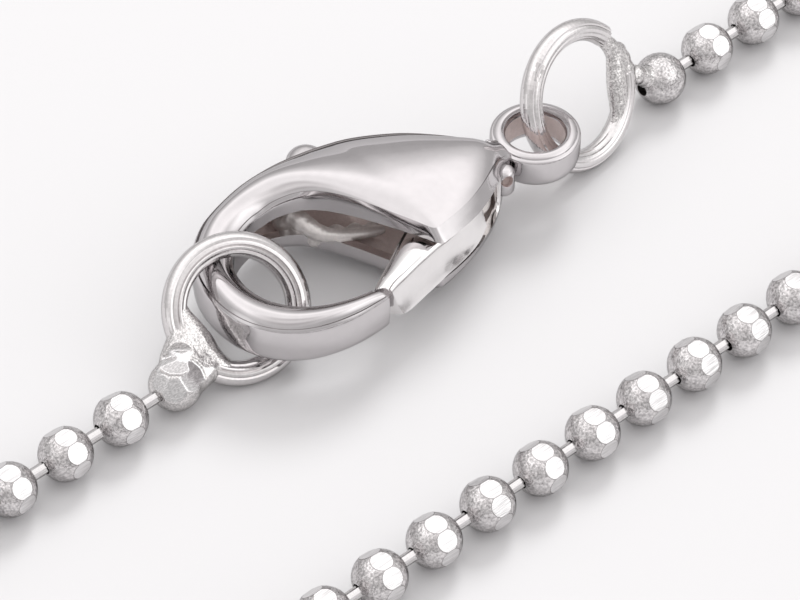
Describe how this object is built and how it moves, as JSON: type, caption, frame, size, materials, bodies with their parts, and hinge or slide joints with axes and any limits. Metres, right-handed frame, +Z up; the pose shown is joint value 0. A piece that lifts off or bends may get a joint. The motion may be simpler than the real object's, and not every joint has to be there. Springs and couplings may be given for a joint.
{
  "type": "ball chain necklace",
  "caption": "Closed necklace of small faceted beads on short links, with soldered jump rings and a spring lobster clasp, laid out on a surface.",
  "frame": {"origin": "middle of the closed necklace's footprint, on the surface that it lies on", "axes": "+X along the two straight strands, from the clasp's hook towards its tail loop; +Y from the plain strand to the strand with the clasp; +Z up from the surface"},
  "size_m": [0.1822, 0.0532, 0.0041],
  "materials": {
    "clasp_metal": "mirror polished platinum-coloured plating on cast metal",
    "lever_metal": "mirror polished platinum-coloured plating on cast metal",
    "pin_metal": "plain drawn wire",
    "ring_metal": "polished drawn wire with rough bright solder at its joint",
    "bead_metal": "bright cut flats on thin hollow plated balls",
    "link_metal": "bright plated wire"
  },
  "bodies": {
    "necklace": {"clasp_body": "clasp_metal", "lever_pin": "pin_metal", "tail_jump_ring": "ring_metal", "hook_jump_ring": "ring_metal", "beads_tail_half": "bead_metal", "beads_hook_half": "bead_metal", "bead_links": "link_metal"},
    "lever": {"clasp_lever": "lever_metal"}
  },
  "joints": [
    {"name": "lever_hinge", "type": "hinge", "parent": "necklace", "child": "lever", "pos_m": [0.00307, 0.00409, 0.00169], "axis": [0, 0, 1], "range_deg": [-18, 0], "stiffness_Nm_per_rad": 0.002, "springref_deg": 20.05}
  ]
}
